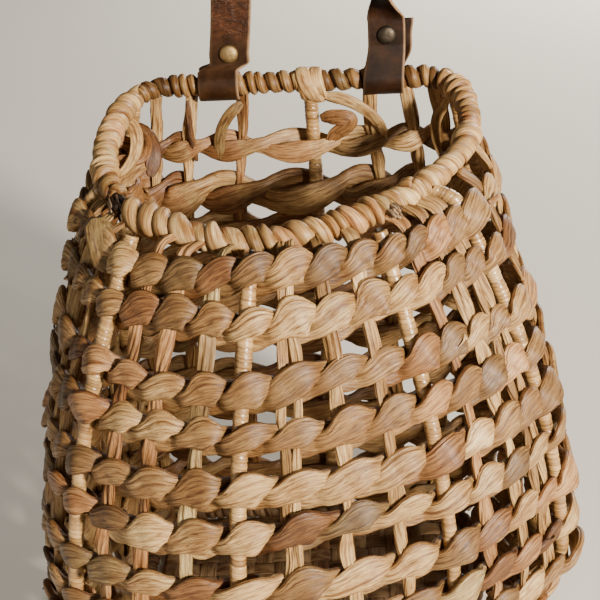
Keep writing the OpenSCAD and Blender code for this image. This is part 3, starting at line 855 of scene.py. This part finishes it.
knot = Piece()
wrapping(knot, rim, rim_axes, KNOT_AT, 0.0, pitch=5.0, starts=1, core=4.8, half_t=1.9)
band(knot, -0.045, 3.0, 1.2, reach_out=6.0, reach_up=7.6, drop=2.2, half_t=2.0, tint=0.6)
band(knot, -0.085, 4.6, 4.2, reach_out=6.8, reach_up=8.4, drop=2.6, half_t=2.3, tint=0.8)
band(knot, -0.130, 4.0, 1.6, reach_out=6.4, reach_up=7.6, drop=1.6, half_t=2.0, tint=0.7)
knot.build("rim_knot_binding", RIM, ["rim_knot"])

foot_binding = Piece()
wrapping(foot_binding, foot_ring, foot_axes, 0.0, float(CORNERS), pitch=7.5, starts=1, core=3.4,
         half_t=1.5, floor=0.0, tone=(0.1, 0.8), lumps=0.25)
foot_binding.build("base_ring_binding", BASE, ["base_ring_wrap"])


# ----- base -----

SLAT_W, SLAT_PITCH = 11.0, 12.0
SLAT_MID, SLAT_SWING = 1.8, 0.85
# Strips on each side of the middle one, and the length of the shortest that is made
SLATS, LEAST_SLAT = 13, 12
# How far the strips stay inside the middle of the base ring
RING_ROOM = 6.5


def chord(points, axis, at):
    """Lowest and highest place of a closed outline along the other axis where axis is at."""
    a, b = points, np.roll(points, -1, axis=0)
    crosses = (a[:, axis] - at) * (b[:, axis] - at) < 0
    share = (at - a[crosses, axis]) / (b[crosses, axis] - a[crosses, axis])
    found = a[crosses, 1 - axis] + share * (b[crosses, 1 - axis] - a[crosses, 1 - axis])
    return (found.min(), found.max()) if len(found) >= 2 else None


def base_strips(name, node_name, axis):
    """Interlaced strips at every pitch along axis, which each run across it."""
    u = np.linspace(0, CORNERS, 120, endpoint=False)
    plan = (foot_ring(u) - foot_axes(u)[0] * RING_ROOM)[:, :2]
    strips = Piece()
    for i in range(-SLATS, SLATS + 1):
        ends = chord(plan, axis, i * SLAT_PITCH)
        if ends is None or ends[1] - ends[0] < LEAST_SLAT:
            continue
        run = np.arange(ends[0] + 1, ends[1] - 1, 1.5)
        weave = np.cos(math.pi * (run / SLAT_PITCH + i + axis))
        centre = np.empty((len(run), 3))
        centre[:, axis] = i * SLAT_PITCH
        centre[:, 1 - axis] = run
        centre[:, 2] = SLAT_MID + SLAT_SWING * weave
        side, face = framed(centre, UP)
        strips.sweep(centre, side, face, SLAT_W / 2 * 0.97, 0.75, sides=22, bundles=6, run=28.0,
                     tint=rng.uniform(0.2, 0.9), hue=hues(1)[0], square=0.6, floor=0.0)
    strips.build(name, BASE, [node_name])


base_strips("base_front_to_back_strips", "base_warps", 0)
base_strips("base_side_to_side_strips", "base_wefts", 1)


# ----- cut reed ends -----

ROD_POINTS = 8
# How far inside the rim's wrapping the rods start
ROD_ROOT = 2.5
# Turn from each rod to the next, in radians, which spreads them evenly over the bundle
ROD_SPIN = 2.4


def reed_stub(name, u, shift, rim_r, rods, length, bundle_r, aim):
    """A cut end: a bundle of fine dry rods with a ragged face. It leaves the rim at place u,
    moved by shift, and points along aim."""
    stub = Piece()
    here = np.array([float(u)])
    root = rim(here)[0] + np.array(shift)
    d = heading(here, 0.0)[0]
    out = unit(np.array(aim))
    across = unit(np.cross(out, UP))
    for k in range(rods):
        ring = math.sqrt((k + 0.5) / rods) * bundle_r
        spin = k * ROD_SPIN
        offset = across * ring * math.cos(spin) + np.cross(out, across) * ring * math.sin(spin)
        reach = np.linspace(rim_r - ROD_ROOT, rim_r + length * rng.uniform(0.75, 1.05), ROD_POINTS)
        lean = rng.uniform(-0.12, 0.12, 2)
        centre = root + offset + np.outer(reach, out) + np.outer(reach - reach[0], d * lean[0])
        centre[:, 2] += (reach - reach[0]) * lean[1]
        side, face = framed(centre, UP)
        taper = np.array([1, 1, 1, 1, 1, 1, 0.9, 0.55]) * rng.uniform(0.6, 0.95)
        stub.sweep(centre, side, face, taper, taper, sides=10, relief=0.12, bundles=3, run=5.0,
                   tint=rng.uniform(0.0, 1.0))
    stub.build(name, REED, [name.replace("_rods", "")])


reed_stub("reed_end_left_rods", 3.17, (-1.6, -1.4, -1.6), 1.0, 20, 9.5, 4.6, (0.25, -0.9, -0.1))
reed_stub("reed_end_right_rods", 5.81, (0.0, 0.0, 2.0), 7.6, 15, 5.0, 3.2, (0.35, -0.8, -0.1))


# ----- leather strap -----

STRAP_W, STRAP_T = 22.8, 2.0
STRAP_RISE = 190.0
# In the brackets from here on, the left side comes first and the right side second
# Sideways place of the strap's top, and how far each half of its bend is pulled
STRAP_TOP_X, TOP_SPREAD = 7.0, (-42.0, 42.0)
LOOP_X = (-36.5, 51.5)
RIVET_RISE = (18.0, 25.0)
# How far the strap has slipped along the rail, and the heights between which it comes back in line
LOOP_SLIP = (-7.0, -2.4)
SLIP_FROM, SLIP_TO = (8.0, 0.0), (12.5, 20.0)
# Width of each leg, next to the wider loop below it
LEG_WIDTH = (0.98, 0.90)
# How far each leg leans sideways for each millimetre above its loop, and its tail with it
LEG_LEAN, TAIL_LEAN = (0.15, 0.0), (0.15, 0.12)
# How far each tail stands to the side of its loop
TAIL_SHIFT = (0.0, 4.0)
# Sideways place, from its loop, and height that each leg heads for
LEG_AIM = ((10.0, 95.0), (-13.0, 100.0))
LEG_POINTS = 60
LOOP_R = 8.2
CAP_R = 5.2
TAIL_UP = 8.0
# How far a leg's middle lies in front of the rail's, and its tail's middle behind
LEG_DEPTH = STRAP_T / 2 + 0.1
# Size of the rounding of the cut edges, and points across each face
STRAP_CORNER = 0.75
FACE_POINTS = 25


def loop_side(rise):
    """Side view, as (y, z) about the rail, of the strap from under the rail up past the rivet."""
    flat_from = rise - CAP_R - 1.5
    lean = math.acos(LOOP_R / flat_from)
    angles = np.linspace(1.5 * math.pi, math.pi / 2 + lean, 26)
    arc = np.column_stack([LOOP_R * np.cos(angles), LOOP_R * np.sin(angles)])
    run = np.linspace(0, 1, 8)[1:, None]
    slope = arc[-1] + (np.array([-LEG_DEPTH, flat_from]) - arc[-1]) * run
    rise_up = np.column_stack([np.full(12, -LEG_DEPTH),
                               np.linspace(flat_from, rise + TAIL_UP, 13)[1:]])
    return np.vstack([arc, slope, rise_up])


def cubic(a, b, c, d, t):
    """Points at shares t of the curve from a to d that is pulled towards b and c."""
    t = t[:, None]
    return (1 - t) ** 3 * a + 3 * t * (1 - t) ** 2 * b + 3 * t ** 2 * (1 - t) * c + t ** 3 * d


def loop_at(i, z, lean, shift=(0.0, 0.0)):
    """Sideways place of the strap's middle in loop i at height z above the rail."""
    back_in_line = smooth(np.clip((z - SLIP_FROM[i]) / (SLIP_TO[i] - SLIP_FROM[i]), 0, 1))
    leaned_by = lean[i] * np.maximum(z - RIVET_RISE[i], 0)
    shifted_by = shift[i] * smooth(np.clip(z / 16, 0, 1))
    return LOOP_X[i] + LOOP_SLIP[i] * (1 - back_in_line) + leaned_by + shifted_by


def strap_route():
    """Middle line of the strap, tail to tail, how far its width is turned at each point,
    and how firmly its width is held along the rail there."""
    top = np.array([STRAP_TOP_X, 0.0, STRAP_RISE])
    share = np.linspace(0, 1, LEG_POINTS + 1)[1:]
    turns = (smooth(share), 1 - (1 - share) ** 20)
    halves = []
    for i in (0, 1):
        y, z = loop_side(RIVET_RISE[i]).T
        back = np.column_stack([loop_at(i, z, TAIL_LEAN, TAIL_SHIFT), -y, z])[:0:-1]
        front = np.column_stack([loop_at(i, z, LEG_LEAN), y, z])
        leg = cubic(np.array([front[-1, 0], -LEG_DEPTH, RIVET_RISE[i] + TAIL_UP]),
                    np.array([LOOP_X[i] + LEG_AIM[i][0], -LEG_DEPTH, LEG_AIM[i][1]]),
                    top + np.array([TOP_SPREAD[i], 0, 0]), top, share)
        loop_n = len(back) + len(front)
        path = np.vstack([back, front, leg])
        bend = slice(loop_n - 6, loop_n + 8)
        for _ in range(6):
            path[bend] = blur(path)[bend]
        turned = np.concatenate([np.zeros(loop_n), math.pi / 2 * turns[i]])
        held = np.concatenate([np.ones(loop_n), np.clip(1 - 5 * share, 0, 1)])
        halves.append((path, turned, held))
    return [np.concatenate([left, right[-2::-1]]) for left, right in zip(*halves)]


def strap_axes(path, turned, held):
    """Directions across the strap's width and out of its face."""
    t_dir = tangents(path)
    level = unit(t_dir * np.array([[0, 1, 1]]))
    t_dir = unit(t_dir + (level - t_dir) * held[:, None])
    face = np.cross(np.array([[1.0, 0, 0]]), t_dir)
    face[len(path) // 2:] *= -1
    edge = unit(np.cross(t_dir, np.array([[0, 1.0, 0]])) + np.array([[1e-9, 0, 0]]))
    normal = np.cos(turned)[:, None] * np.array([[0, -1.0, 0]]) - np.sin(turned)[:, None] * edge
    normal = np.where(held[:, None] == 1, face, normal)
    across = unit(np.cross(normal, t_dir))
    return across, unit(np.cross(t_dir, across))


def strap_section():
    """Rounded rectangle, from the front face round the edges, and where its cut edges are."""
    half_w, half_t = STRAP_W / 2, STRAP_T / 2
    bevel = STRAP_CORNER * 0.3
    front = np.column_stack([np.linspace(-1, 1, FACE_POINTS) * (half_w - STRAP_CORNER),
                             np.full(FACE_POINTS, half_t)])
    low = half_t - STRAP_CORNER
    right = np.column_stack([[half_w - bevel, half_w, half_w, half_w - bevel],
                             [half_t - bevel, low, -low, bevel - half_t]])
    face_edge = np.zeros(FACE_POINTS)
    face_edge[[0, -1]] = 0.55
    is_edge = np.tile(np.concatenate([face_edge, np.ones(len(right))]), 2)
    return np.vstack([front, right, -front, -right]), is_edge


def strap():
    """The leather band from tail to tail."""
    path, turned, held = strap_route()
    across, normal = strap_axes(path, turned, held)
    section, is_edge = strap_section()
    s = travelled(path)

    # The leather is creased above the left rivet, and smooth round the rail
    on_left = path[:, 0] < STRAP_TOP_X
    creased = np.clip((path[:, 2] - RIVET_RISE[0] - 4) / 10, 0, 1) * np.where(on_left, 1.0, 0.25)
    x, y = section[:, 0], section[:, 1]
    grid = rng.random((90, 16))
    wave = lattice(grid, s[:, None] / 6.5 + 0.12 * x[None], 0.35 * x[None] + 8)
    fold = np.clip(1 - np.abs(2 * wave - 1) * 2.2, 0, 1) ** 1.4
    crinkled = creased[:, None] * (1 - is_edge)[None]
    seen = np.where(across[:, :1] * np.sign(x)[None] > 0, 1.0, 0.25) * is_edge[None]
    push = -0.35 * crinkled * fold * np.sign(y)[None]
    above = smooth(np.clip(path[:, 2] / 20, 0, 1))
    leg = np.where(on_left, *LEG_WIDTH)
    width = 1 + (leg - 1) * above + wander(s / 35, 20, -0.006, 0.006)
    points = (path[:, None] + across[:, None] * (x[None] * width[:, None])[..., None]
              + normal[:, None] * (y[None] + push)[..., None])
    # The right half of the strap is marked for painted shade
    shaded_right_half = np.where(path[:, :1] > STRAP_TOP_X, 1.0, 0.0)
    piece = Piece()
    piece.add(points + WALL_AT + RAIL_H * UP, (s[:, None], x, y), (crinkled, seen, shaded_right_half))
    piece.build("strap_band", LEATHER, ["strap"], body="handle")


strap()


# Share of a cap's depth that its straight foot takes up, under the dome
RIVET_FOOT = 0.14
RIVET_SIDES = 48


def rivet(side, material):
    """Domed cap, turned about the rivet's axis: its profile is in shares of radius and depth."""
    low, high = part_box(f"rivet_cap_{side}")
    centre = (low + high) / 2
    radius = (high.x - low.x) / 2
    angles = np.radians(np.array([0, 6, 14, 24, 36, 48, 60, 70, 79, 86]))
    profile = [(0.80, 0.0), (0.97, 0.0), (1.0, 0.05)] + [
        (math.cos(a) ** 0.8, RIVET_FOOT + (1 - RIVET_FOOT) * math.sin(a)) for a in angles]
    depth = high.y - low.y
    points = []
    for r, z in profile:
        for k in range(RIVET_SIDES):
            w = TAU * k / RIVET_SIDES
            dent = 1 + 0.012 * math.sin(3 * w + 1) if z > 0.2 else 1
            points.append((centre.x + radius * r * math.cos(w), high.y - depth * z * dent,
                           centre.z + radius * r * math.sin(w)))
    tip = len(points)
    points.append((centre.x, high.y - depth, centre.z))
    faces = grid_faces(len(profile), RIVET_SIDES).tolist()
    faces.append(list(range(RIVET_SIDES))[::-1])
    last = tip - RIVET_SIDES
    faces += [(last + k, last + (k + 1) % RIVET_SIDES, tip) for k in range(RIVET_SIDES)]
    mesh = bpy.data.meshes.new(f"rivet_{side}_dome")
    mesh.from_pydata(points, [], faces)
    show(mesh, material, [f"rivet_cap_{side}"], "handle")


rivet("left", BRASS)
rivet("right", STEEL)


def paint(names, material):
    """Gives CAD nodes that stay a better material."""
    for name in names:
        carried = frame["nodes"][name]
        carried.data.materials.clear()
        carried.data.materials.append(material)


WIRE = metal_material("wire", (0.05, 0.042, 0.034), (0.11, 0.095, 0.08), 0.6)
paint(["rim_wire", "base_ring_wire"] + [f"rib_wire_{rib}" for rib in RIBS], WIRE)
paint([f"rivet_{part}_{side}" for part in ("post", "washer") for side in ("left", "right")], STEEL)


# ----- camera, light and floor -----

def aim_camera():
    """The camera stands in front, a little to the right, and looks down into the basket."""
    azimuth, elevation, roll = 0.049, 0.483, -0.056
    distance = 682.3
    target = Vector((-3.4, 40.0, 199.6))
    back = Vector((math.sin(azimuth) * math.cos(elevation),
                   -math.cos(azimuth) * math.cos(elevation), math.sin(elevation)))
    right = (-back).cross(Vector((0, 0, 1))).normalized()
    up = right.cross(-back)
    rolled_right = right * math.cos(roll) + up * math.sin(roll)
    rolled_up = up * math.cos(roll) - right * math.sin(roll)
    data = bpy.data.cameras.new("camera")
    data.lens = 73.4
    data.sensor_width = 36
    data.clip_start = 0.01
    camera = add_object("camera", data)
    axes = Matrix((rolled_right, rolled_up, back)).transposed()
    camera.matrix_world = Matrix.Translation((target + back * distance) * MM) @ axes.to_4x4()
    bpy.context.scene.camera = camera


# Where the key and the fill light are aimed, in metres
LOOK_AT = (0.0, 0.02, 0.22)


def add_light(name, place, target, energy, colour, size, spread=math.pi):
    """A round lamp that faces its target and is not seen itself."""
    data = bpy.data.lights.new(name, "AREA")
    data.shape = "DISK"
    data.size = size
    data.spread = spread
    data.energy = energy
    data.color = colour
    light = add_object(name, data)
    light.location = place
    light.visible_camera = False
    aim = Vector(target) - Vector(place)
    light.rotation_euler = aim.to_track_quat("-Z", "Y").to_euler()


aim_camera()
add_light("key", (1.25, -1.45, 0.88), LOOK_AT, 108, (1.0, 0.93, 0.82), size=0.24)
add_light("fill", (-1.6, -1.0, 0.8), LOOK_AT, 3.6, (1.0, 0.97, 0.93), size=1.2)
add_light("backdrop", (1.4, 2.5, 1.2), (0.9, 1.9, 0.0), 66, (1.0, 0.955, 0.88), size=0.9,
          spread=math.radians(120))

world = bpy.data.worlds.new("studio")
world.use_nodes = True
world.node_tree.nodes["Background"].inputs["Color"].default_value = (1.0, 0.97, 0.92, 1)
world.node_tree.nodes["Background"].inputs["Strength"].default_value = 0.095
bpy.context.scene.world = world

floor_mesh = bpy.data.meshes.new("floor")
floor_mesh.from_pydata([(-4, -4, 0), (4, -4, 0), (4, 4, 0), (-4, 4, 0)], [], [(0, 1, 2, 3)])
floor = add_object("floor", floor_mesh)
floor_material, _, floor_shader = new_material("pale_floor")
floor_shader.inputs["Base Color"].default_value = (0.77, 0.725, 0.645, 1)
floor_shader.inputs["Roughness"].default_value = 0.85
floor_mesh.materials.append(floor_material)
